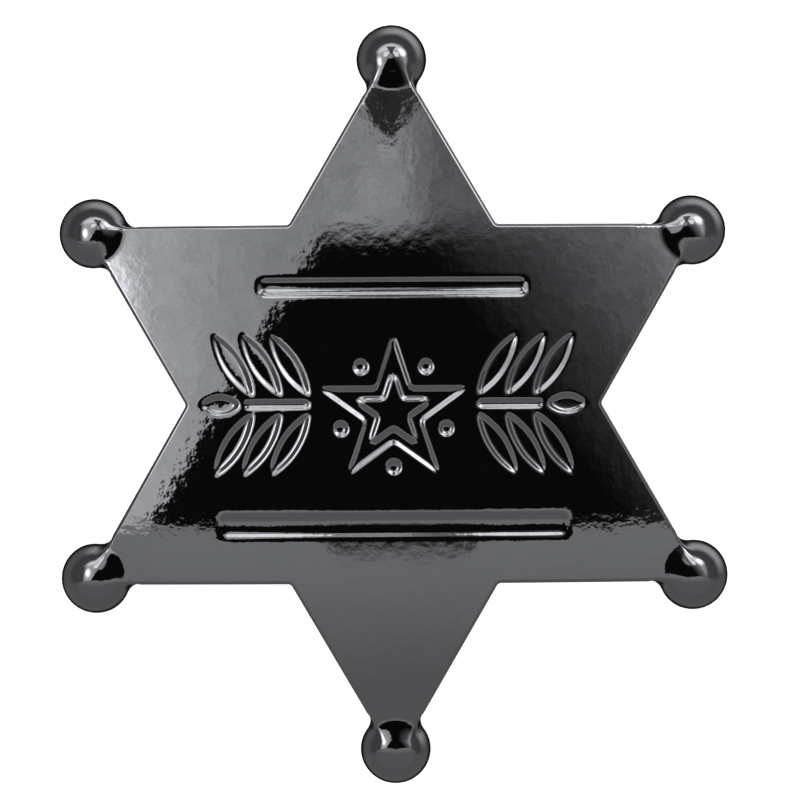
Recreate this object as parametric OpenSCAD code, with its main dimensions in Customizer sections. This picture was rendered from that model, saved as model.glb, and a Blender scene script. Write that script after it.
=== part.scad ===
// Six-pointed star badge cast as one domed plate, with a ball on every point,
// two sunk bars, a sunk small star between two laurel sprays, and a brooch pin behind it.
// It lies face up: +Z is the front, +Y points to the top ball, and z = 0 is the surface
// that the six points stand on. Sizes are in millimetres.

/* [Star] */
// Distance from the centre to each straight edge
edge_distance = 17.8; // [15:0.1:21]
// Thickness of the plate
plate_t = 2.2; // [1.8:0.1:2.4]
// Radius of the domed front face
dome_r = 180; // [150:1:200]
// Radius in the corner between two points
notch_r = 0.5; // [0.2:0.1:1]
// Radius between a point's edge and its ball
neck_r = 0.8; // [0.4:0.1:1.2]

/* [Balls] */
// Radius of each ball
ball_r = 3.5; // [3:0.1:4]
// Distance from the star's sharp point back to the ball's centre
ball_setback = 1.2; // [0.8:0.1:1.8]
// Radius at the foot of a ball, where it rises from the front face
foot_r = 0.8; // [0.5:0.1:1.2]
// Depth ground off the lowest rim of each point, which it stands on
rest_cut = 0.15; // [0.1:0.01:0.2]

/* [Sunk figures] */
// Depth of the bars, the small star and the leaves
figure_depth = 0.3; // [0.2:0.05:0.5]
// Length of the upper bar
upper_bar_l = 27.3; // [20:0.1:32]
// Width of the upper bar
upper_bar_w = 2.3; // [1.5:0.1:3]
// Height of the upper bar's middle above the centre
upper_bar_y = 11.65; // [10.5:0.05:13]
// Length of the lower bar
lower_bar_l = 35.3; // [28:0.1:40]
// Width of the lower bar
lower_bar_w = 2.8; // [2:0.1:3.5]
// Distance of the lower bar's middle below the centre
lower_bar_y = 12.0; // [11:0.05:13.5]
// Radius of the bars' corners
bar_corner_r = 0.5; // [0.2:0.1:0.9]

/* [Small star and laurel] */
// Radius to the points of the small star
star_r = 7.9; // [6:0.1:8.2]
// Width of the groove that draws the small star
star_groove_w = 1.3; // [0.9:0.05:1.6]
// Radius of the beads between the small star's points
bead_r = 0.75; // [0.5:0.05:0.9]
// Distance of the beads from the small star's middle
bead_ring_r = 5.5; // [5:0.1:6]
// Gap between the small star's side points and each stem
spray_gap = 0.8; // [0.6:0.1:1.5]
// Width of a stem
stem_w = 0.8; // [0.6:0.05:1.2]
// Length of a stem beyond its last pair of leaves
stem_end = 0.9; // [0.6:0.1:1.2]
// Pairs of leaves on each stem
leaf_pairs = 3; // [2:1:3]
// Distance from one pair of leaves to the next
leaf_pitch = 2.8; // [2.6:0.05:3]
// Length of a leaf beside the stem
leaf_l = 7.5; // [6:0.1:8]
// Widest part of a leaf
leaf_w = 1.9; // [1.4:0.05:2]
// Gap between a leaf's root and its stem
leaf_gap = 0.35; // [0.25:0.05:0.6]
// Angle between a leaf and its stem
leaf_angle = 58; // [50:1:65]
// Plain metal left between the last leaf and the corner between two points
side_margin = 1.4; // [1:0.1:2]

/* [Brooch pin] */
// Length of the base strip
strip_l = 28; // [24:0.5:32]
// Width of the base strip
strip_w = 2.8; // [2:0.1:4]
// Thickness of the base strip
strip_t = 0.7; // [0.5:0.1:0.9]
// Height of the pin above the star's centre
pin_y = 8.8; // [0:0.1:10]
// Distance between the hinge barrel and the catch
pin_span = 24; // [20:0.5:26]
// Radius of the hinge barrel and of the catch
barrel_r = 1.0; // [0.8:0.05:1.1]
// Radius of the needle
needle_r = 0.4; // [0.3:0.05:0.5]
// Length of the needle past the catch, with its point
needle_end = 2.6; // [2:0.1:4]
// Width of the bent catch along the needle
catch_w = 2.0; // [1.2:0.1:3]
// Gap between the strip and the plate
strip_gap = 0.1; // [0.05:0.01:0.2]
// Gap between the needle and the inside of the catch
catch_gap = 0.1; // [0.05:0.01:0.2]
// Gap between the barrel and the surface that the badge lies on
floor_gap = 0.35; // [0.2:0.05:0.5]

/* [Hidden] */
$fn = 128;
points = 6;
turn = 360 / points;
arc_steps = 8;

// The balls' centres lie on the back face, so the upper half of each ball stands on it.
back_r = dome_r - plate_t;
sharp_distance = edge_distance / cos(turn);
tip_distance = sharp_distance - ball_setback;
lean = asin(tip_distance / back_r);

// The lowest rim is where a ball meets the back face, on the side away from the centre.
rim_angle = 2 * asin(ball_r / (2 * back_r));
rim_z = back_r * cos(lean + rim_angle);
dome_z = -(rim_z + rest_cut);

// Taller and wider than the badge, for the solids that trim it.
trim_top = dome_r + 2 * ball_r;
trim_side = tip_distance + 2 * ball_r;

// A round sinks a hair into the two faces that it joins, so that it meets them at a clear angle.
round_sink = 0.02;
foot_to_ball = ball_r + foot_r - round_sink;
foot_to_dome = dome_r + foot_r - round_sink;
foot_angle = acos((pow(back_r, 2) + pow(foot_to_dome, 2) - pow(foot_to_ball, 2))
    / (2 * back_r * foot_to_dome));
foot_x = foot_to_dome * sin(foot_angle);
foot_y = foot_to_dome * cos(foot_angle) - back_r;

// Where the foot's round meets the ball, as a share of the way to the round's centre.
foot_share = ball_r / foot_to_ball;

// The corners between the star's points, and where the middle of the small star sits,
// so that its top and its feet are as far from the badge's centre.
corner_distance = edge_distance / cos(turn / 2);
star_y = -star_r * (1 - cos(36)) / 2;

function polar(r, a) = [r * cos(a), r * sin(a)];

// Points along an arc, from angle a to angle b.
function arc(centre, r, a, b) =
    [for (i = [0 : arc_steps]) centre + polar(r, a + (b - a) * i / arc_steps)];

// The centre of the round that joins the left edge of the point at angle a to its ball.
neck_out = edge_distance + neck_r - round_sink;
neck_to_ball = ball_r + neck_r - round_sink;
neck_along = tip_distance * cos(turn / 2)
    - sqrt(pow(neck_to_ball, 2) - pow(neck_out - tip_distance * cos(turn), 2));
function neck_centre(a, side) = polar(neck_out, a + side * turn) + polar(neck_along, a - side * turn / 2);

// How far the neck's round turns from the straight edge to the ball.
neck_swing = acos((neck_out - tip_distance * cos(turn)) / neck_to_ball);

// One sharp point of the star and the rounded corner after it.
function point_outline(a) = let (
    notch = polar(corner_distance + notch_r / cos(turn / 2), a + turn / 2)
) concat(
    [polar(sharp_distance, a)],
    arc(notch, notch_r, a + turn + 180, a + 180)
);

module star_outline() {
    polygon([for (k = [0 : points - 1]) each point_outline(90 + k * turn)]);
}

// The two rounds between a point's edges and its ball, with the metal that carries them.
module neck_outline(a) {
    polygon(concat(
        [polar(tip_distance - 2 * ball_r, a)],
        arc(neck_centre(a, -1), neck_r, a - turn + 180, a - turn + 180 - neck_swing),
        [polar(tip_distance, a)],
        arc(neck_centre(a, 1), neck_r, a + turn + 180 + neck_swing, a + turn + 180)
    ));
}

// A solid ball of metal as large as a face of the dome, with its poles off to the sides.
module dome(r) {
    rotate([90, 0, 0])
        sphere(r);
}

// Puts its children on the back face at one point of the star, standing square to the face.
module at_point(k) {
    rotate([0, 0, 90 + k * turn])
        rotate([0, lean, 0])
            translate([0, 0, back_r])
                children();
}

module foot() {
    rotate_extrude()
        difference() {
            translate([foot_x * foot_share / 2, plate_t / 2])
                square([foot_x - foot_x * foot_share / 2, foot_y * foot_share - plate_t / 2]);
            translate([foot_x, foot_y])
                circle(foot_r);
        }
}

// A bar with rounded corners, along X and centred.
module bar(l, w) {
    x = l / 2 - bar_corner_r;
    y = w / 2 - bar_corner_r;
    polygon(concat(
        arc([x, y], bar_corner_r, 0, 90),
        arc([-x, y], bar_corner_r, 90, 180),
        arc([-x, -y], bar_corner_r, 180, 270),
        arc([x, -y], bar_corner_r, 270, 360)
    ));
}

// A leaf between two arcs, from its root at the origin along +X.
module leaf(l, w) {
    r = l * l / (4 * w) + w / 4;
    translate([l / 2, 0])
        intersection() {
            translate([0, r - w / 2])
                circle(r);
            translate([0, w / 2 - r])
                circle(r);
        }
}

// A five-pointed star whose straight edges lie this far from its centre.
module five_star(edge) {
    tip = edge / cos(72);
    notch = edge / cos(36);
    polygon([for (i = [0 : 4]) each [polar(tip, 90 + 72 * i), polar(notch, 126 + 72 * i)]]);
}

module small_star() {
    edge = star_r * cos(72);
    difference() {
        five_star(edge);
        five_star(edge - star_groove_w);
    }
    for (i = [0 : 4])
        rotate(126 + 72 * i)
            translate([bead_ring_r, 0])
                circle(bead_r);
}

// A laurel spray along +X: a stem, its pairs of leaves, and one leaf that ends short of the corner.
module spray() {
    stem_x = star_r * cos(18) + spray_gap;
    stem_l = leaf_pitch * (leaf_pairs - 1) + stem_end;
    last_leaf_x = stem_x + stem_l + leaf_gap;
    translate([stem_x, -stem_w / 2])
        square([stem_l, stem_w]);
    for (i = [0 : leaf_pairs - 1], side = [-1, 1])
        translate([stem_x + leaf_pitch * i, side * (stem_w / 2 + leaf_gap)])
            rotate(side * leaf_angle)
                leaf(leaf_l, leaf_w);
    translate([last_leaf_x, 0])
        leaf(corner_distance - side_margin - last_leaf_x, leaf_w);
}

module figures() {
    translate([0, upper_bar_y])
        bar(upper_bar_l, upper_bar_w);
    translate([0, -lower_bar_y])
        bar(lower_bar_l, lower_bar_w);
    translate([0, star_y])
        small_star();
    spray();
    mirror([1, 0])
        spray();
}

// Everything is built round the dome's centre, then set down on the surface.
module star_plate() {
    color("#2e3033")
        translate([0, 0, dome_z])
            difference() {
                union() {
                    intersection() {
                        linear_extrude(trim_top)
                            star_outline();
                        dome(dome_r);
                    }
                    intersection() {
                        linear_extrude(trim_top)
                            star_outline();
                        for (k = [0 : points - 1])
                            at_point(k)
                                foot();
                    }
                    intersection() {
                        linear_extrude(trim_top)
                            for (k = [0 : points - 1])
                                neck_outline(90 + k * turn);
                        dome(back_r + plate_t / 2);
                    }
                    for (k = [0 : points - 1])
                        at_point(k)
                            sphere(ball_r);
                }
                dome(back_r);
                difference() {
                    linear_extrude(trim_top)
                        figures();
                    dome(dome_r - figure_depth);
                }
                translate([-trim_side, -trim_side, 0])
                    cube([2 * trim_side, 2 * trim_side, -dome_z]);
            }
}

// The needle runs level along X, as low as its barrel's gap to the surface lets it.
needle_z = floor_gap + barrel_r;
hinge_x = -pin_span / 2;
catch_x = pin_span / 2;

// Height of the middle of the base strip, which follows the back of the dome.
function strip_z(x) = dome_z + sqrt(pow(back_r - strip_gap - strip_t / 2, 2) - x * x - pin_y * pin_y);

module strip() {
    top_r = back_r - strip_gap;
    translate([0, 0, dome_z])
        difference() {
            intersection() {
                translate([0, pin_y])
                    linear_extrude(trim_top)
                        bar(strip_l, strip_w);
                dome(top_r);
            }
            dome(top_r - strip_t);
        }
}

// The hinge barrel lies across the strip, on a block that stands it off.
module hinge() {
    translate([hinge_x, pin_y, needle_z]) {
        rotate([90, 0, 0])
            cylinder(r = barrel_r, h = strip_w, center = true);
        translate([-barrel_r / 2, -strip_w / 2, 0])
            cube([barrel_r, strip_w, strip_z(hinge_x) - needle_z]);
    }
}

module needle() {
    point_l = 4 * needle_r;
    translate([hinge_x, pin_y, needle_z])
        rotate([0, 90, 0]) {
            cylinder(r = needle_r, h = pin_span + needle_end - point_l);
            translate([0, 0, pin_span + needle_end - point_l])
                cylinder(r1 = needle_r, r2 = needle_r / 8, h = point_l);
        }
}

// A tab that comes down from the strip and bends round under the needle, open above on one side.
module catch() {
    inner_r = needle_r + catch_gap;
    top = strip_z(catch_x) - needle_z;
    translate([catch_x - catch_w / 2, pin_y, needle_z])
        rotate([90, 0, 90])
            linear_extrude(catch_w)
                polygon(concat(
                    arc([0, 0], barrel_r, 180, 360),
                    [[barrel_r, top], [inner_r, top]],
                    arc([0, 0], inner_r, 360, 180)
                ));
}

module brooch_pin() {
    color("#9a9da1") {
        strip();
        hinge();
        needle();
        catch();
    }
}

star_plate();
brooch_pin();
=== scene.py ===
import math
import bpy
import numpy as np
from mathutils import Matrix, Vector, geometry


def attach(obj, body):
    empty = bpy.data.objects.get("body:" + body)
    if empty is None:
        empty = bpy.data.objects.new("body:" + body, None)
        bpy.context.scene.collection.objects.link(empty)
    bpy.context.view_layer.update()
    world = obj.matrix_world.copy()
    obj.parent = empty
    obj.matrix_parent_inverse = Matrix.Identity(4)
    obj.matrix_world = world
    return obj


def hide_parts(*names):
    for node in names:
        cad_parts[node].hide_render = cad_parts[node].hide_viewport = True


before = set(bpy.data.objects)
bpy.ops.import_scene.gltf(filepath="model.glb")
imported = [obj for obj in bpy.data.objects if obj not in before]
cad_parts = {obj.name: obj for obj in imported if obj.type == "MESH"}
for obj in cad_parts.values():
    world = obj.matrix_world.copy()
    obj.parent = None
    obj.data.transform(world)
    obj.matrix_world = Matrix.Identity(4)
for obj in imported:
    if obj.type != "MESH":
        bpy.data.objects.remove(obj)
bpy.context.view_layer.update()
print("frame loaded:", sorted(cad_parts))

mm = 0.001    # the sizes below are in millimetres, the frame is in metres


# A value inside a node tree. Each operator adds its Math node.
class Wire:
    def __init__(self, tree, socket):
        self.tree = tree
        self.socket = socket

    def maths(self, operation, *values):
        node = self.tree.nodes.new("ShaderNodeMath")
        node.operation = operation
        for end, value in zip(node.inputs, values):
            plug(self.tree, value, end)
        return Wire(self.tree, node.outputs[0])

    def __add__(self, other):
        return self.maths("ADD", self, other)

    def __sub__(self, other):
        return self.maths("SUBTRACT", self, other)

    def __rsub__(self, other):
        return self.maths("SUBTRACT", other, self)

    def __mul__(self, other):
        return self.maths("MULTIPLY", self, other)

    def __truediv__(self, other):
        return self.maths("DIVIDE", self, other)

    def __neg__(self):
        return self.maths("MULTIPLY", self, -1.0)

    def __abs__(self):
        return self.maths("ABSOLUTE", self)

    __radd__ = __add__
    __rmul__ = __mul__


def plug(tree, value, end):
    if isinstance(value, Wire):
        tree.links.new(value.socket, end)
    else:
        end.default_value = value


# One rule for arrays and for wires: a wire among the values adds a node, and arrays are worked
# out at once.
def rule(operation, plain):
    def work(*values):
        wires = [v for v in values if isinstance(v, Wire)]
        return wires[0].maths(operation, *values) if wires else plain(*values)
    return work


larger = rule("MAXIMUM", np.maximum)
smaller = rule("MINIMUM", np.minimum)
squareRoot = rule("SQRT", np.sqrt)
sine = rule("SINE", np.sin)
cosine = rule("COSINE", np.cos)
turnOf = rule("ARCTAN2", np.arctan2)
wrapped = rule("FLOORED_MODULO", np.mod)
isOver = rule("GREATER_THAN", lambda a, b: (a > b) * 1.0)


def reach(*parts):
    return squareRoot(sum(p * p for p in parts))


# A node tree and the one way in which other nodes are added to it.
class Bench:
    def __init__(self, tree):
        self.tree = tree

    def node(self, kind, settings=None, sockets=None):
        made = self.tree.nodes.new(kind)
        for name, value in (settings or {}).items():
            setattr(made, name, value)
        for name, value in (sockets or {}).items():
            plug(self.tree, value, made.inputs[name])
        return made

    def out(self, made, name=0):
        return Wire(self.tree, made.outputs[name])

    def value(self, kind, settings=None, sockets=None, name=0):
        return self.out(self.node(kind, settings, sockets), name)

    def vector(self, x=0.0, y=0.0, z=0.0):
        return self.value("ShaderNodeCombineXYZ", None, {"X": x, "Y": y, "Z": z})

    def axes(self, vector):
        split = self.node("ShaderNodeSeparateXYZ", None, {"Vector": vector})
        return [self.out(split, axis) for axis in "XYZ"]

    def noise(self, place, scale, detail, roughness=0.5):
        return self.value("ShaderNodeTexNoise", None, {
            "Vector": place, "Scale": scale, "Detail": detail, "Roughness": roughness})


# A Geometry Nodes tree whose inputs are named after the sizes.
class Shop(Bench):
    def __init__(self, name, sizes):
        super().__init__(bpy.data.node_groups.new(name, "GeometryNodeTree"))
        face = self.tree.interface
        face.new_socket("Geometry", in_out="OUTPUT", socket_type="NodeSocketGeometry")
        face.new_socket("Geometry", in_out="INPUT", socket_type="NodeSocketGeometry")
        for key, value in sizes.items():
            kind = "NodeSocketInt" if isinstance(value, int) else "NodeSocketFloat"
            face.new_socket(key, in_out="INPUT", socket_type=kind).default_value = value
        face.new_socket("finish", in_out="INPUT", socket_type="NodeSocketMaterial")
        self.entry = self.tree.nodes.new("NodeGroupInput")
        self.sizes = {key: self.out(self.entry, key) for key in sizes}
        self.values = sizes

    def join(self, parts):
        joined = self.node("GeometryNodeJoinGeometry")
        for part in parts:
            self.tree.links.new(part.socket, joined.inputs[0])
        return self.out(joined)

    def move(self, part, x=0.0, y=0.0, turn=0.0, scale=(1, 1, 1)):
        return self.value("GeometryNodeTransform", None, {
            "Geometry": part, "Translation": self.vector(x, y),
            "Rotation": (0, 0, turn), "Scale": scale})

    # Ends the tree and returns the plain mesh that it makes from the given one.
    def run(self, part, finish, start=None):
        real = self.value("GeometryNodeRealizeInstances", None, {"Geometry": part})
        ready = self.value("GeometryNodeSetMaterial", None,
                           {"Geometry": real, "Material": self.out(self.entry, "finish")})
        self.tree.links.new(ready.socket, self.tree.nodes.new("NodeGroupOutput").inputs[0])
        holder = bpy.data.objects.new("holder", start or bpy.data.meshes.new("empty"))
        bpy.context.scene.collection.objects.link(holder)
        modifier = holder.modifiers.new("make", "NODES")
        modifier.node_group = self.tree
        for item in self.tree.interface.items_tree:
            if item.in_out == "INPUT" and item.name in self.values:
                modifier[item.identifier] = self.values[item.name]
            elif item.name == "finish":
                modifier[item.identifier] = finish
        graph = bpy.context.evaluated_depsgraph_get()
        made = bpy.data.meshes.new_from_object(holder.evaluated_get(graph))
        bpy.data.objects.remove(holder)
        return made


def newMaterial(name):
    made = bpy.data.materials.new(name)
    made.use_nodes = True
    made.node_tree.nodes.clear()
    return made, Bench(made.node_tree)


# The sunk figures: two bars, a small star with beads, and two laurel sprays.
figures = {
    "upperBarLength": 27.3, "upperBarWidth": 2.3, "upperBarHeight": 11.65,
    "lowerBarLength": 35.3, "lowerBarWidth": 2.8, "lowerBarHeight": -12.0,
    "barCorner": 0.5, "barInset": 0.3,
    "starRadius": 7.9, "starGroove": 1.3, "beads": 5, "beadRadius": 0.75, "beadRing": 5.5,
    "sprayGap": 0.8, "stemWidth": 0.8, "stemEnd": 0.9,
    "leafPairs": 3, "leafPitch": 2.8, "leafLength": 7.5, "leafWidth": 1.9, "leafGap": 0.35,
    "leafAngle": math.radians(58), "lastLeafTip": 19.153,
}
roundSteps = {"barCorner": 6, "leaf": 56, "bead": 32}    # stretches round each of these


def bar(shop, width, height, x, y, corner=None):
    line = shop.value("GeometryNodeCurvePrimitiveQuadrilateral", {"mode": "RECTANGLE"},
                      {"Width": width, "Height": height})
    if corner is not None:
        line = shop.value("GeometryNodeFilletCurve", {"mode": "POLY"},
                          {"Curve": line, "Count": roundSteps["barCorner"], "Radius": corner,
                           "Limit Radius": True})
    return shop.move(line, x, y)


# A leaf between two arcs, from its root at the origin along X. Each point of a ring is set out by
# its place on the ring.
def leaf(shop, length, width):
    ring = shop.value("GeometryNodeCurvePrimitiveCircle", {"mode": "RADIUS"},
                      {"Resolution": roundSteps["leaf"], "Radius": 1.0})
    place = shop.value("GeometryNodeSplineParameter")
    along = 1 - abs(1 - place * 2)
    side = 1 - 2 * isOver(place, 0.5)
    radius = length * length / (width * 4) + width / 4
    x = length * along
    offset = x - length / 2
    y = side * (squareRoot(radius * radius - offset * offset) - (radius - width / 2))
    return shop.value("GeometryNodeSetPosition", None,
                      {"Geometry": ring, "Position": shop.vector(x, y)})


def figureLines():
    shop = Shop("sunk figures", figures)
    s = shop.sizes
    tip = math.cos(math.radians(72))      # a straight edge's distance over the tips' radius
    notch = math.cos(math.radians(36))    # and over the notches' radius
    middle = s["starRadius"] * (-(1 - notch) / 2)
    parts = []
    for name in ("upperBar", "lowerBar"):
        length, width = (s[name + side] - 2 * s["barInset"] for side in ("Length", "Width"))
        parts.append(bar(shop, length, width, 0.0, s[name + "Height"], s["barCorner"]))
    outer = s["starRadius"] * tip
    for edge in (outer, outer - s["starGroove"]):
        line = shop.value("GeometryNodeCurveStar", None, {
            "Points": 5, "Inner Radius": edge / notch, "Outer Radius": edge / tip, "Twist": 0.0})
        parts.append(shop.move(line, 0.0, middle, math.pi / 2))
    bead = shop.value("GeometryNodeCurvePrimitiveCircle", {"mode": "RADIUS"},
                      {"Resolution": roundSteps["bead"], "Radius": s["beadRadius"]})
    seats = shop.value("GeometryNodeMeshCircle", {"fill_type": "NONE"},
                       {"Vertices": s["beads"], "Radius": s["beadRing"]})
    beads = shop.value("GeometryNodeInstanceOnPoints", None, {"Points": seats, "Instance": bead})
    parts.append(shop.move(beads, 0.0, middle, math.radians(126)))

    stemStart = s["starRadius"] * math.cos(math.radians(18)) + s["sprayGap"]
    stemLength = s["leafPitch"] * (s["leafPairs"] - 1) + s["stemEnd"]
    spray = [bar(shop, stemLength, s["stemWidth"], stemStart + stemLength / 2, 0.0)]
    blade = leaf(shop, s["leafLength"], s["leafWidth"])
    for side in (-1, 1):
        roots = shop.value("GeometryNodeMeshLine", {"mode": "OFFSET"}, {
            "Count": s["leafPairs"], "Offset": shop.vector(s["leafPitch"]),
            "Start Location": shop.vector(stemStart, (s["stemWidth"] / 2 + s["leafGap"]) * side)})
        spray.append(shop.value("GeometryNodeInstanceOnPoints", None, {
            "Points": roots, "Instance": blade,
            "Rotation": shop.vector(0.0, 0.0, s["leafAngle"] * side)}))
    last = stemStart + stemLength + s["leafGap"]
    spray.append(shop.move(leaf(shop, s["lastLeafTip"] - last, s["leafWidth"]), last))
    right = shop.join(spray)
    left = shop.move(right, scale=(-1, 1, 1))
    lines = shop.join([*parts, right, left])
    wires = shop.value("GeometryNodeCurveToMesh", None, {"Curve": lines})
    return shop.run(wires, None)


# The closed lines of a mesh that has only edges. Each turns left and has no stretch longer than
# the step.
def closedLines(mesh, step):
    nextTo = {}
    for edge in mesh.edges:
        a, b = edge.vertices
        nextTo.setdefault(a, []).append(b)
        nextTo.setdefault(b, []).append(a)
    seen, lines = set(), []
    for first in sorted(nextTo):
        if first in seen:
            continue
        order, here = [], first
        while here is not None:
            order.append(here)
            seen.add(here)
            here = next((n for n in nextTo[here] if n not in seen), None)
        line = np.array([mesh.vertices[i].co[:2] for i in order])
        ahead = np.roll(line, -1, axis=0)
        if (line[:, 0] * ahead[:, 1] - line[:, 1] * ahead[:, 0]).sum() < 0:
            line = line[::-1]
            ahead = np.roll(line, -1, axis=0)
        points = []
        for a, b in zip(line, ahead):
            count = max(1, math.ceil(np.hypot(*(b - a)) / step))
            points.extend(a + (b - a) * i / count for i in range(count))
        lines.append(np.array(points))
    return lines


# How closely the star's points are set: rows and gaps in millimetres, bends in degrees.
fine = {
    "lineStep": 0.3, "softCell": 0.05, "softMargin": 1.8, "softReach": 28,
    # the outline
    "notchSteps": 5, "edgeSteps": 30, "neckSteps": 10, "ballSteps": 30, "settleSteps": 6,
    # rows round the rims of the plate and of the balls
    "rimBends": (12, 26, 40, 54, 67, 79, 90), "rimGap": 0.005,
    "ballBends": (4, 8, 12, 16, 20, 25, 30), "ballGap": 0.006, "ballMargin": 0.15,
    "edgeRows": (0.5, 0.8, 1.25), "edgeGap": 0.12,
    # rows beside the figures' lines, and rings at the feet of the balls
    "wallRow": 0.1, "wallEnd": 0.75, "wallGap": 0.07,
    "footStart": 2.3, "footEnd": 3.4, "footRow": 0.07, "footTurns": 96,
    "footGap": 0.06, "footInside": 0.03,
    # grids round each ball, round the figures, over the whole front and over the back
    "neckHalf": 5.4, "neckReach": 5.3, "neckPitch": 0.22, "neckGap": 0.14, "neckInside": 0.08,
    "figurePitch": 0.5, "figureGap": 0.45, "figureMargin": 0.6,
    "halfWidth": 36, "halfHeight": 38, "widePitch": 1.0, "wideGap": 0.9, "wideInside": 0.3,
    "restTurns": 600, "restGap": 0.2, "backPitch": 1.7, "backGap": 0.9, "backInside": 0.5,
    # searches in halving steps
    "sieveCell": 0.25, "firstClimb": 3.0, "climbs": 23, "sideClimbs": 26,
    "firstInset": 0.7, "insets": 24,
}

figureRings = closedLines(figureLines(), fine["lineStep"])
segmentA = np.concatenate(figureRings)
segmentB = np.concatenate([np.roll(line, -1, axis=0) for line in figureRings])
print("figures:", len(figureRings), "closed lines of", len(segmentA), "points")

star = {
    "edgeDistance": 17.8, "plate": 2.2, "domeRadius": 180.0, "notchRound": 0.5,
    "ballRadius": 3.5, "ballDistance": 34.4, "footRound": 0.85,
    "restCut": 0.15, "rimRound": 0.35, "backRound": 0.15,
    "figureDepth": 0.3, "barSoft": 0.32, "lineSoft": 0.25,
}
backRadius = star["domeRadius"] - star["plate"]
lean = math.asin(star["ballDistance"] / backRadius)
rimAngle = 2 * math.asin(star["ballRadius"] / (2 * backRadius))
star["domeHeight"] = -(backRadius * math.cos(lean + rimAngle) + star["restCut"])
star["ballHeight"] = star["domeHeight"] + backRadius * math.cos(lean)
sixth = math.pi / 3
root3 = math.sqrt(3)


# Joins two solids with a fillet between them, or cuts one by the other with a rounded edge.
def filleted(a, b, radius):
    return larger(smaller(a, b), radius) - reach(larger(radius - a, 0.0), larger(radius - b, 0.0))


def rounded(a, b, radius):
    return smaller(larger(a, b), -radius) + reach(larger(a + radius, 0.0), larger(b + radius, 0.0))


# One sixth of the star stands for all: along a point's middle line, and aside from it.
def folded(x, y):
    turn = wrapped(turnOf(x, y) + sixth / 2, sixth) - sixth / 2
    far = reach(x, y)
    return far * cosine(turn), abs(far * sine(turn))


# Distance to the star's straight edges and notches, below zero inside.
def edgeGap(along, aside, s):
    edge = along * 0.5 + aside * (root3 / 2) - s["edgeDistance"]
    centre = s["edgeDistance"] + s["notchRound"]
    u, v = along - centre, aside - centre / root3
    notch = s["notchRound"] - reach(u, v)
    return edge + (notch - edge) * isOver(v * 0.5 - u * (root3 / 2), 0.0)


def outlineGap(x, y, s):
    along, aside = folded(x, y)
    ball = reach(along - s["ballDistance"], aside) - s["ballRadius"]
    return filleted(edgeGap(along, aside, s), ball, s["footRound"])


# Distance to the front of the plate with its six balls, below zero in the metal.
def frontGap(x, y, z, sunk, s):
    along, aside = folded(x, y)
    rise = z - s["domeHeight"]
    dome = reach(x, y, rise) - (s["domeRadius"] - sunk)
    plate = rounded(dome, edgeGap(along, aside, s), s["rimRound"])
    ball = reach(along - s["ballDistance"], aside, z - s["ballHeight"]) - s["ballRadius"]
    return filleted(plate, ball, s["footRound"])


def solidGap(x, y, z, sunk, s):
    under = np.maximum(backRadius - reach(x, y, z - s["domeHeight"]), -z)
    return rounded(frontGap(x, y, z, sunk, s), under, s["backRound"])


def backHeight(x, y):
    return np.maximum(star["domeHeight"] + np.sqrt(backRadius ** 2 - x * x - y * y), 0.0)


# How much of each small square lies in the figures, spread softly to all sides, with its slopes.
def softFigures():
    cell, margin, reachSteps = fine["softCell"], fine["softMargin"], fine["softReach"]
    low, high = segmentA.min(0) - margin, segmentA.max(0) + margin
    columns, rows = (np.arange(low[i], high[i], cell) for i in (0, 1))
    steps = np.arange(-reachSteps, reachSteps + 1)
    isBar = abs(segmentA[:, 1]) > figures["starRadius"] + 1    # the bars lie beyond the star
    total = np.zeros((len(rows), len(columns)))
    for chosen, soft in ((isBar, star["barSoft"]), (~isBar, star["lineSoft"])):
        starts, ends = segmentA[chosen], segmentB[chosen]
        share = np.zeros_like(total)
        for row, middle in zip(share, rows):
            for y in (middle - cell / 4, middle + cell / 4):    # each of the two counts half
                crosses = (starts[:, 1] > y) != (ends[:, 1] > y)
                a, b = starts[crosses], ends[crosses]
                run = (y - a[:, 1]) * (b[:, 0] - a[:, 0]) / (b[:, 1] - a[:, 1])
                for i, x in enumerate(np.sort(a[:, 0] + run)):
                    covered = np.clip((columns - x) / cell + 0.5, 0, 1)
                    row += covered * (0.5 if i % 2 == 0 else -0.5)
        weights = np.exp(-(steps * cell / soft) ** 2 / 2)
        for axis in (0, 1):
            share = sum(w * np.roll(share, i, axis) for i, w in zip(steps, weights / weights.sum()))
        total += share
    return low, cell, (total, *np.gradient(total, cell)[::-1])


# How deep the figures lie below the dome at each point, and how their soft walls slope.
def sunkAt(points):
    low, cell, fields = softFigures()
    place = (points - low) / cell
    inside = ((place > 0) & (place < np.array(fields[0].shape[::-1]) - 1)).all(1)
    i, j = np.where(inside[:, None], np.floor(place), 0).astype(int).T
    fx, fy = (place - np.floor(place)).T
    share, slopeX, slopeY = (
        inside * ((f[j, i] * (1 - fx) + f[j, i + 1] * fx) * (1 - fy)
                  + (f[j + 1, i] * (1 - fx) + f[j + 1, i + 1] * fx) * fy) for f in fields)
    depth = star["figureDepth"]
    return depth * share ** 2, 2 * depth * share * slopeX, 2 * depth * share * slopeY


def slope(gap, x, y, h=1e-4):
    gx = gap(x + h, y, star) - gap(x - h, y, star)
    gy = gap(x, y + h, star) - gap(x, y - h, star)
    size = np.hypot(gx, gy)
    return gx / size, gy / size


def arc(centre, radius, start, end, steps):
    turns = np.radians(np.linspace(start, end, steps + 1))
    return np.column_stack([centre[0] + radius * np.cos(turns), centre[1] + radius * np.sin(turns)])


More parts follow.
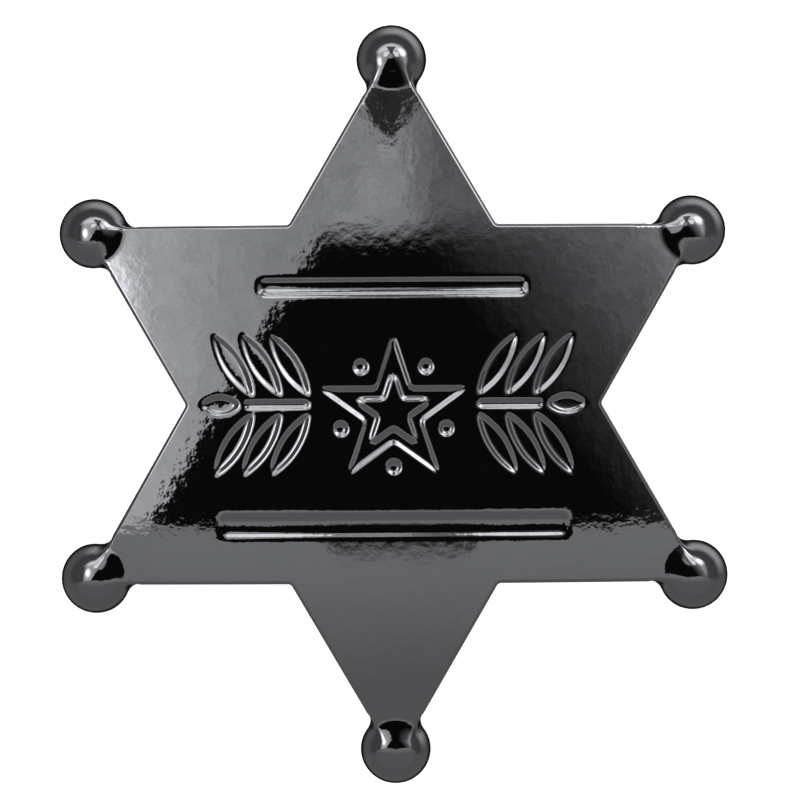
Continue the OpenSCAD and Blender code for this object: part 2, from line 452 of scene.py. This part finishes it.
# Half of one point's outline, from the middle of a notch to the far side of the ball, with the
# point along X.
def halfOutline():
    e, n, k = star["edgeDistance"], star["notchRound"], star["footRound"]
    far, ball = star["ballDistance"], star["ballRadius"]
    notchCentre = ((e + n), (e + n) / root3)
    normal, along = np.array([0.5, root3 / 2]), np.array([-root3 / 2, 0.5])
    start = notchCentre @ along
    end = far * along[0] + math.sqrt((ball + k) ** 2 - (e + k - far * 0.5) ** 2)
    steps = np.linspace(start, end, fine["edgeSteps"])[1:-1]
    edge = normal * e + steps[:, None] * along
    neckCentre = normal * (e + k) + end * along
    swing = math.degrees(math.acos((e + k - far * 0.5) / (ball + k)))
    toBall = 60 + swing
    return np.concatenate([
        arc(notchCentre, n, 210, 240, fine["notchSteps"]), edge,
        arc(neckCentre, k, 240, 240 + swing, fine["neckSteps"]),
        arc((far, 0.0), ball, toBall, 0, fine["ballSteps"])[1:],
    ])


def fullOutline():
    half = halfOutline()
    mirrored = half * [1, -1]
    point = np.concatenate([mirrored[:-1], half[:0:-1]])
    rings = []
    for k in range(6):
        a = math.pi / 2 + k * sixth
        c, s = math.cos(a), math.sin(a)
        rings.append(point @ np.array([[c, s], [-s, c]]))
    ring = np.concatenate(rings)
    x, y = ring.T
    for _ in range(fine["settleSteps"]):    # onto the filleted outline
        nx, ny = slope(outlineGap, x, y)
        miss = outlineGap(x, y, star)
        x, y = x - nx * miss, y - ny * miss
    return np.column_stack([x, y])


# Keeps points that stand a gap apart from those kept before.
class Sieve:
    def __init__(self):
        self.cell = fine["sieveCell"]
        self.boxes = {}
        self.kept = []

    def add(self, points, gap):
        cells = math.ceil(gap / self.cell)
        for x, y in points:
            i, j = math.floor(x / self.cell), math.floor(y / self.cell)
            near = (p for a in range(i - cells, i + cells + 1)
                    for b in range(j - cells, j + cells + 1)
                    for p in self.boxes.get((a, b), ()))
            if all((p[0] - x) ** 2 + (p[1] - y) ** 2 > gap * gap for p in near):
                self.boxes.setdefault((i, j), []).append((x, y))
                self.kept.append((x, y))


def hexGrid(halfWidth, halfHeight, pitch, centre=(0, 0)):
    rows = np.arange(-halfHeight, halfHeight, pitch * root3 / 2)
    points = [(centre[0] + x + (pitch / 2 if i % 2 else 0), centre[1] + y)
              for i, y in enumerate(rows) for x in np.arange(-halfWidth, halfWidth, pitch)]
    return np.array(points)


def wideGrid(pitch):
    return hexGrid(fine["halfWidth"], fine["halfHeight"], pitch)


# The points that lie inside the outline by more than the margin.
def within(points, margin):
    return points[outlineGap(*points.T, star) < -margin]


def ballCentres():
    turns = math.pi / 2 + sixth * np.arange(6)
    return star["ballDistance"] * np.column_stack([np.cos(turns), np.sin(turns)])


# Points of the front as seen from above: close rows where it curves, a wide grid where it is plain.
def frontPoints(outline):
    sieve = Sieve()
    sieve.add(outline, 0.0)
    nx, ny = slope(outlineGap, outline[:, 0], outline[:, 1])
    inward = -np.column_stack([nx, ny])
    toBall = np.hypot(*(outline[:, None, :] - ballCentres()).transpose(2, 0, 1)).min(1)
    onBall = toBall < star["ballRadius"] + fine["ballMargin"]
    for bend in np.radians(fine["rimBends"]):
        inset = star["rimRound"] * (1 - math.cos(bend))
        sieve.add(outline[~onBall] + inward[~onBall] * inset, fine["rimGap"])
    for bend in np.radians(fine["ballBends"]):
        inset = star["ballRadius"] * (1 - math.cos(bend))
        sieve.add(outline[onBall] + inward[onBall] * inset, fine["ballGap"])
    for inset in fine["edgeRows"]:
        sieve.add(outline[~onBall] + inward[~onBall] * inset, fine["edgeGap"])
    for line in figureRings:
        ahead = np.roll(line, -1, axis=0) - np.roll(line, 1, axis=0)
        left = np.column_stack([-ahead[:, 1], ahead[:, 0]]) / np.hypot(*ahead.T)[:, None]
        sieve.add(line, fine["wallGap"])
        for inset in np.arange(fine["wallRow"], fine["wallEnd"], fine["wallRow"]):
            sieve.add(line + left * inset, fine["wallGap"])
            sieve.add(line - left * inset, fine["wallGap"])
    for centre in ballCentres():
        turns = np.linspace(0, 2 * math.pi, fine["footTurns"], endpoint=False)
        crown = centre * (1 + star["plate"] * math.sin(lean) / star["ballDistance"])
        for far in np.arange(fine["footStart"], fine["footEnd"], fine["footRow"]):
            ring = crown + far * np.column_stack([np.cos(turns), np.sin(turns)])
            sieve.add(within(ring, fine["footInside"]), fine["footGap"])
        near = hexGrid(fine["neckHalf"], fine["neckHalf"], fine["neckPitch"], centre)
        near = near[np.hypot(*(near - centre).T) < fine["neckReach"]]
        sieve.add(within(near, fine["neckInside"]), fine["neckGap"])
    low, high = segmentA.min(0) - fine["figureMargin"], segmentA.max(0) + fine["figureMargin"]
    grid = within(wideGrid(fine["figurePitch"]), fine["wideInside"])
    sieve.add(grid[((grid > low) & (grid < high)).all(1)], fine["figureGap"])
    sieve.add(within(wideGrid(fine["widePitch"]), fine["wideInside"]), fine["wideGap"])
    return np.array(sieve.kept)


# Triangles over flat points, kept inside the outline, which comes first among them.
def flatTriangles(points, outlineCount):
    edges = [(i, (i + 1) % outlineCount) for i in range(outlineCount)]
    verts, _, faces, origins, _, _ = geometry.delaunay_2d_cdt(
        [Vector(p) for p in points], edges, [list(range(outlineCount))], 1, 1e-7)
    if len(verts) != len(points):
        raise RuntimeError(f"{len(points) - len(verts)} points fell together")
    order = np.array([o[0] for o in origins])
    faces = order[np.array(faces)]
    a, b, c = (points[faces[:, i]] for i in range(3))
    area = (b[:, 0] - a[:, 0]) * (c[:, 1] - a[:, 1]) - (b[:, 1] - a[:, 1]) * (c[:, 0] - a[:, 0])
    faces[area < 0] = faces[area < 0][:, ::-1]
    return faces


# The height of the plain front over each point, climbed to from the base in halving steps.
def climbHeights(x, y, base):
    z = np.full(len(x), base)
    step = fine["firstClimb"]
    for _ in range(fine["sideClimbs"]):
        z = np.where(frontGap(x, y, z + step, 0.0, star) < 0, z + step, z)
        step /= 2
    return z


# How far in from the outline the metal starts at each height, below the widest place.
def insetAt(x, y, inX, inY, z):
    far = np.zeros(len(x))
    step = fine["firstInset"]
    for _ in range(fine["insets"]):
        tryFar = far + step
        gap = frontGap(x + inX * tryFar, y + inY * tryFar, z, 0.0, star)
        far = np.where(gap > 1e-7, tryFar, far)
        step /= 2
    return np.where(far < 1e-5, 0.0, far)


pointValues = ("sunk", "slopeX", "slopeY", "climbs")


# The flat blank: its front still level, its sides and its back in place.
def starBlank():
    outline = fullOutline()
    count = len(outline)
    nx, ny = slope(outlineGap, *outline.T)
    inward = -np.column_stack([nx, ny])
    clear = star["backRound"] + 0.05    # the sides begin this far over the back
    low = np.maximum(backHeight(*outline.T) + clear, star["ballHeight"])
    outline = outline + inward * insetAt(*outline.T, *inward.T, low)[:, None]
    plan = frontPoints(outline)
    frontFaces = flatTriangles(plan, count)
    x, y = outline.T
    top = climbHeights(*(outline + inward * 1e-5).T, low - 0.02)
    print("front:", len(plan), "points,", len(frontFaces), "triangles")

    crease = backHeight(x, y)    # where the sides meet the back
    for _ in range(8):
        inset = insetAt(x, y, *inward.T, crease)
        crease = backHeight(*(outline + inward * inset[:, None]).T)
    r = star["backRound"]
    places = []
    for share in (0.25, 0.5, 0.75, 1.0):
        z = top + (crease + r - top) * share
        inset = insetAt(x, y, *inward.T, z)
        places.append(np.column_stack([outline + inward * inset[:, None], z]))
    corner = outline + inward * insetAt(x, y, *inward.T, crease)[:, None]
    bulge = r * 0.29    # the middle of the back round, 1 - cos(45) of its radius
    places.append(np.column_stack([corner + inward * bulge, crease + bulge]))
    edge = corner + inward * r
    places.append(np.column_stack([edge, backHeight(*edge.T)]))

    height = np.full(len(plan), star["ballHeight"])
    height[:count] = top
    isFront = np.arange(len(plan)) >= count
    faces, stack = [frontFaces], [np.column_stack([plan, height])]
    above, total = np.arange(count), len(plan)
    for place in places:
        below = total + np.arange(count)
        a, b, c, d = above, np.roll(above, -1), np.roll(below, -1), below
        faces += [np.column_stack([b, a, d]), np.column_stack([b, d, c])]
        stack.append(place)
        above, total = below, total + count

    sieve = Sieve()
    sieve.add(edge, 0.0)
    turns = np.linspace(0, 2 * math.pi, fine["restTurns"])
    flatFar = math.sqrt(backRadius ** 2 - star["domeHeight"] ** 2)    # the ground flats begin here
    rest = flatFar * np.column_stack([np.cos(turns), np.sin(turns)])
    sieve.add(within(rest, fine["backInside"]), fine["restGap"])
    sieve.add(within(wideGrid(fine["backPitch"]), fine["backInside"]), fine["backGap"])
    flat = np.array(sieve.kept)
    number = np.concatenate([above, total + np.arange(len(flat) - count)])
    faces.append(number[flatTriangles(flat, count)][:, ::-1])
    stack.append(np.column_stack([flat[count:], backHeight(*flat[count:].T)]))

    points = np.concatenate(stack)
    mesh = bpy.data.meshes.new("star blank")
    mesh.from_pydata(points.tolist(), [], np.concatenate(faces).tolist())
    for name, values in zip(pointValues, (*sunkAt(plan), isFront)):
        values = np.concatenate([values, np.zeros(len(points) - len(plan))])
        mesh.attributes.new(name, "FLOAT", "POINT").data.foreach_set("value", values)
    return mesh


# The press: each free point of the flat blank climbs to the front face in halving steps.
def pressStar(blank, finish):
    shop = Shop("pressed star", star)
    named = {"data_type": "FLOAT"}
    sunk = shop.value("GeometryNodeInputNamedAttribute", named, {"Name": "sunk"}, "Attribute")
    climbs = shop.value("GeometryNodeInputNamedAttribute", named, {"Name": "climbs"}, "Attribute")
    begin = shop.tree.nodes.new("GeometryNodeRepeatInput")
    end = shop.tree.nodes.new("GeometryNodeRepeatOutput")
    begin.pair_with_output(end)
    end.repeat_items.clear()
    end.repeat_items.new("GEOMETRY", "Geometry")
    end.repeat_items.new("FLOAT", "step")
    begin.inputs["Iterations"].default_value = fine["climbs"]
    plug(shop.tree, shop.out(shop.entry, "Geometry"), begin.inputs["Geometry"])
    begin.inputs["step"].default_value = fine["firstClimb"]
    step = shop.out(begin, "step")
    x, y, z = shop.axes(shop.value("GeometryNodeInputPosition"))
    free = isOver(0.0, frontGap(x, y, z + step, sunk, shop.sizes)) * climbs
    moved = shop.value("GeometryNodeSetPosition", None, {
        "Geometry": shop.out(begin, "Geometry"), "Offset": shop.vector(0.0, 0.0, step * free)})
    plug(shop.tree, moved, end.inputs["Geometry"])
    plug(shop.tree, step * 0.5, end.inputs["step"])
    pressed = shop.out(end, "Geometry")
    return shop.run(shop.move(pressed, scale=(mm, mm, mm)), finish, blank)


nickel = {
    "tone": (0.30, 0.305, 0.32), "toneEnd": (0.26, 0.265, 0.28), "roughness": 0.035,
    "rippleSize": 1.1, "rippleDepth": 0.017, "swellSize": 4.0, "swellDepth": 0.012,
    "cloudSize": 14.0, "cloudShine": (0.7, 0.6),
    "speckSize": 0.35, "speckOver": 0.72, "speckRoughness": 0.02,
}


def blackNickel():
    material, b = newMaterial("black nickel")
    place = b.value("ShaderNodeTexCoord", None, None, "Object")
    ripple = b.noise(place, 1 / (nickel["rippleSize"] * mm), 2.0)
    swell = b.noise(place, 1 / (nickel["swellSize"] * mm), 1.0)
    cloud = b.noise(place, 1 / (nickel["cloudSize"] * mm), 3.0, 0.6)
    speck = b.noise(place, 1 / (nickel["speckSize"] * mm), 3.0, 0.7)
    height = ripple * nickel["rippleDepth"] + swell * nickel["swellDepth"]
    bump = b.value("ShaderNodeBump", None, {"Height": height, "Distance": mm, "Strength": 1.0})
    tone = b.value("ShaderNodeMix", {"data_type": "RGBA"}, {
        "Factor": cloud, 6: (*nickel["tone"], 1), 7: (*nickel["toneEnd"], 1)}, 2)
    shineLow, shineRange = nickel["cloudShine"]
    roughness = nickel["roughness"] * (shineLow + shineRange * cloud)
    roughness = roughness + nickel["speckRoughness"] * isOver(speck, nickel["speckOver"])
    shader = b.value("ShaderNodeBsdfPrincipled", None, {
        "Base Color": tone, "Metallic": 1.0, "Roughness": roughness, "Normal": bump})
    b.node("ShaderNodeOutputMaterial", None, {"Surface": shader})
    return material


pinSteel = {
    "tone": (0.62, 0.61, 0.59), "toneEnd": (0.46, 0.46, 0.47), "cloudSize": 3.0,
    "grainLength": 6.0, "grainWidth": 0.08, "grainDepth": 0.004,
    "roughness": 0.24, "grainRoughness": 0.16,
}


def nickelSteel():
    material, b = newMaterial("pin steel")
    place = b.value("ShaderNodeTexCoord", None, None, "Object")
    along, across = (1 / (pinSteel[size] * mm) for size in ("grainLength", "grainWidth"))
    drawn = b.value("ShaderNodeMapping", None, {"Vector": place, "Scale": (along, across, across)})
    grain = b.noise(drawn, 1.0, 3.0)
    cloud = b.noise(place, 1 / (pinSteel["cloudSize"] * mm), 3.0)
    tone = b.value("ShaderNodeMix", {"data_type": "RGBA"}, {
        "Factor": cloud, 6: (*pinSteel["tone"], 1), 7: (*pinSteel["toneEnd"], 1)}, 2)
    bump = b.value("ShaderNodeBump", None, {
        "Height": grain * pinSteel["grainDepth"], "Distance": mm, "Strength": 1.0})
    roughness = pinSteel["roughness"] + pinSteel["grainRoughness"] * grain
    shader = b.value("ShaderNodeBsdfPrincipled", None, {
        "Base Color": tone, "Metallic": 1.0, "Roughness": roughness, "Normal": bump})
    b.node("ShaderNodeOutputMaterial", None, {"Surface": shader})
    return material


nickelFinish = blackNickel()
starMesh = pressStar(starBlank(), nickelFinish)


def readAttribute(mesh, name):
    values = np.empty(len(mesh.vertices))
    mesh.attributes[name].data.foreach_get("value", values)
    mesh.attributes.remove(mesh.attributes[name])
    return values


# Shading directions straight from the rule that shapes the metal, so that the polish mirrors
# cleanly.
def cleanNormals(mesh):
    count = len(mesh.vertices)
    co = np.empty(count * 3)
    mesh.vertices.foreach_get("co", co)
    p = co.reshape(-1, 3) / mm
    corners = np.empty(len(mesh.loops), int)
    mesh.loops.foreach_get("vertex_index", corners)
    triangles = corners.reshape(-1, 3)
    sunk, *slopes, _ = (readAttribute(mesh, name) for name in pointValues)
    h = 0.012    # to each side of a point
    normals = np.zeros((count, 3))
    for axis in range(3):
        step = np.eye(3)[axis] * h
        change = slopes[axis] * h if axis < 2 else 0.0
        normals[:, axis] = (solidGap(*(p + step).T, sunk + change, star)
                            - solidGap(*(p - step).T, sunk - change, star))
    normals /= np.linalg.norm(normals, axis=1)[:, None] + 1e-12
    a, b, c = (p[triangles[:, i]] for i in range(3))
    flat = np.cross(b - a, c - a)
    flat /= np.linalg.norm(flat, axis=1)[:, None] + 1e-12
    wanted = normals[triangles]
    agrees = (wanted * flat[:, None, :]).sum(2) > 0.6    # else the corner is a sharp one
    wanted = np.where(agrees[..., None], wanted, flat[:, None, :])
    mesh.normals_split_custom_set(wanted.reshape(-1, 3).tolist())


starMesh.name = "star"
starPiece = bpy.data.objects.new("star", starMesh)
bpy.context.scene.collection.objects.link(starPiece)
for polygon in starMesh.polygons:
    polygon.use_smooth = True
cleanNormals(starMesh)
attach(starPiece, "root")
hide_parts("star_plate")
print("star:", len(starMesh.polygons), "faces")

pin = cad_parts["brooch_pin"]
pin.data.materials.clear()
pin.data.materials.append(nickelSteel())

# The camera looks straight down, with 0.1 mm to a pixel at the height of the balls' middles.
photo = {
    "lens": 200.0, "sensor": 36.0, "scale": 0.1, "width": 800,
    "centreX": 393.5, "centreY": 404.0, "turn": 0.37,
}
camera = bpy.data.objects.new("camera", bpy.data.cameras.new("camera"))
bpy.context.scene.collection.objects.link(camera)
camera.data.lens, camera.data.sensor_width = photo["lens"], photo["sensor"]
distance = photo["scale"] * photo["width"] * photo["lens"] / photo["sensor"]
middle = photo["width"] / 2
camera.location = (
    (middle - photo["centreX"]) * photo["scale"] * mm,
    (photo["centreY"] - middle) * photo["scale"] * mm,
    (distance + star["ballHeight"]) * mm,
)
camera.rotation_euler = (0, 0, -math.radians(photo["turn"]))
camera.data.clip_start, camera.data.clip_end = 0.01, 20
bpy.context.scene.camera = camera

# A pale floor, a lit sheet over the badge that the camera looks through, and a soft room round
# them.
studio = {
    "floorSize": 4.0, "floorTone": 0.9, "floorRoughness": 0.9, "floorGlow": 0.95,
    "sheetHeight": 95.0, "sheetSize": 500.0, "toPlate": 2.23,
    "creaseScale": 0.62, "creases": 0.85, "mirrored": 0.29,
}
# What the plating shows of the sheet and the room, as tones from 0 to 255.
tones = {
    "middle": 8, "rightNear": 45, "rightHalf": 85, "rightFull": 140, "rightEnd": 45,
    "upper": 85, "upperLeft": 128, "leftNear": 122, "leftFull": 155, "leftEnd": 48,
    "north": 200, "flanks": 215, "wedgeLow": 38, "wedgeHigh": 72,
    "lampLeft": 250, "lampRight": 245, "farOff": 60, "cardNear": 104, "cardFar": 80,
    "sideLow": 74, "sideHigh": 140, "room": 56, "south": 76, "under": 14,
}


def softStep(x, low, high):
    t = smaller(larger((x - low) / (high - low), 0.0), 1.0)
    return t * t * (3 - 2 * t)


# The strength of light that gives a tone on the plating, which mirrors a part of it.
def light(name):
    value = tones[name] / 255
    value = value / 12.92 if value < 0.04045 else ((value + 0.055) / 1.055) ** 2.4
    return value / studio["mirrored"]


def blend(a, b, share):
    return a + (b - a) * share


def stagePiece(name, size, height, material):
    mesh = bpy.data.meshes.new(name)
    s = size / 2
    corners = [(-s, -s, height), (s, -s, height), (s, s, height), (-s, s, height)]
    mesh.from_pydata(corners, [], [(0, 1, 2, 3)])
    mesh.materials.append(material)
    piece = bpy.data.objects.new(name, mesh)
    bpy.context.scene.collection.objects.link(piece)
    return piece


def floorPaper():
    material, b = newMaterial("floor paper")
    shader = b.value("ShaderNodeBsdfPrincipled", None, {
        "Base Color": (*[studio["floorTone"]] * 3, 1), "Roughness": studio["floorRoughness"],
        "Emission Color": (1, 1, 1, 1), "Emission Strength": studio["floorGlow"]})
    b.node("ShaderNodeOutputMaterial", None, {"Surface": shader})
    return material


# The lit sheet's pattern, in the millimetres of the plate that mirrors it: u to the right, v up.
def sheetLight():
    material, b = newMaterial("lit sheet")
    place = b.axes(b.value("ShaderNodeTexCoord", None, None, "Object"))
    u, v = (axis / (mm * studio["toPlate"]) for axis in place[:2])
    # dark in the middle, lighter to the upper right in three steps, then less so
    glow = light("middle")
    right = u * 0.8 + v * 0.6
    glow = blend(glow, light("rightNear"), softStep(right, 11.0, 19.0))
    glow = blend(glow, light("rightHalf"), softStep(right, 17.0, 29.0))
    glow = blend(glow, light("rightFull"), softStep(right, 27.0, 40.0))
    glow = blend(glow, light("rightEnd"), softStep(u, 42.0, 75.0))
    # grey over the upper bar, lighter on its left side
    upper = softStep(v, 15.0, 20.0) * softStep(-right, -30.0, -24.0)
    glow = blend(glow, light("upper"), upper)
    glow = blend(glow, light("upperLeft"), softStep(v, 15.5, 18.5) * softStep(-u, -5.0, 0.5))
    # light on the left, with a slanting edge
    left = (-8.0 - (15.0 - v) * 0.62 - u) / 1.18
    west = blend(light("leftNear"), light("leftFull"), softStep(-u, 10.0, 27.0))
    west = blend(west, light("leftEnd"), softStep(-u, 38.0, 56.0))
    glow = blend(glow, west, softStep(left, -0.4, 0.5))
    # light over the top point and on both its sides, with a dark wedge down its middle
    glow = blend(glow, light("north"), softStep(v, 31.0, 42.0))
    flanks = softStep(v, 19.0, 23.0) * softStep(-v, -35.0, -32.0)
    flanks = flanks * softStep(abs(u) * root3 + v, 37.5, 41.0) * softStep(-abs(u), -21.0, -17.0)
    glow = blend(glow, light("flanks"), flanks)
    wedge = smaller((v - 26.1) * 0.75, (v - 29.0) * 0.55 + 2.1) - abs(u + 0.4)
    wedge = softStep(wedge, -0.6, 1.2) * (1 - softStep(v, 50.0, 54.0) * softStep(-v, -72.0, -68.0))
    dark = blend(light("wedgeLow"), light("wedgeHigh"), softStep(v, 31.0, 37.0))
    glow = blend(glow, dark, wedge)
    # a lamp on the left and one on the upper right, and little light far off
    lampLeft = reach(u + 35.0, (v - 8.0) / 1.5)
    glow = glow + softStep(-lampLeft, -11.0, -3.0) * light("lampLeft")
    lampRight = reach(u - 35.0, v - 36.0)
    glow = glow + softStep(-lampRight, -20.0, -4.0) * light("lampRight")
    glow = blend(glow, light("farOff"), softStep(reach(u, v - 8.0), 44.0, 74.0))
    # faint creases, stronger to the right
    creases = b.noise(b.vector(u, v), studio["creaseScale"], 2.0) - 0.5
    rightward = blend(0.6, 1.0, softStep(u, -24.0, -4.0))
    glow = glow * (1 + creases * studio["creases"] * rightward)
    # a plain card below, whose edge is soft in the middle
    south = -v - 12.2 - larger(abs(u) - 34.0, 0.0) * 0.25
    pocket = softStep(-abs(u - 0.6), -9.5, -5.5)
    card = blend(light("cardNear"), light("cardFar"), softStep(-v, 12.0, 30.0))
    glow = blend(glow, card, softStep(south, -0.3, 0.5 + pocket * 3.4))
    shader = b.value("ShaderNodeEmission", None, {"Color": (1, 1, 1, 1), "Strength": glow})
    b.node("ShaderNodeOutputMaterial", None, {"Surface": shader})
    return material


def room():
    world = bpy.data.worlds.new("room")
    world.use_nodes = True
    world.node_tree.nodes.clear()
    b = Bench(world.node_tree)
    x, y, z = b.axes(b.value("ShaderNodeTexCoord", None, None, "Generated"))
    horizon = softStep(-z, -0.15, 0.25) * softStep(z, -0.85, -0.35)
    toNorthEast = x * 0.5 + y * 0.87
    side = blend(light("sideLow"), light("sideHigh"), softStep(toNorthEast, 0.4, 0.95))
    glow = blend(light("room"), side, horizon)
    glow = blend(glow, light("south"), softStep(-y, 0.05, 0.35))
    glow = blend(glow, light("under"), softStep(-z, 0.6, 0.84))    # the dark line round each rim
    shader = b.value("ShaderNodeBackground", None, {"Color": (1, 1, 1, 1), "Strength": glow})
    b.node("ShaderNodeOutputWorld", None, {"Surface": shader})
    bpy.context.scene.world = world


floor = stagePiece("floor", studio["floorSize"], 0.0, floorPaper())
floor.visible_glossy = False
sheet = stagePiece("lit_sheet", studio["sheetSize"] * mm, studio["sheetHeight"] * mm, sheetLight())
sheet.visible_camera = False
sheet.visible_shadow = False
room()
bpy.context.scene.view_settings.view_transform = "Standard"
print("studio ready")
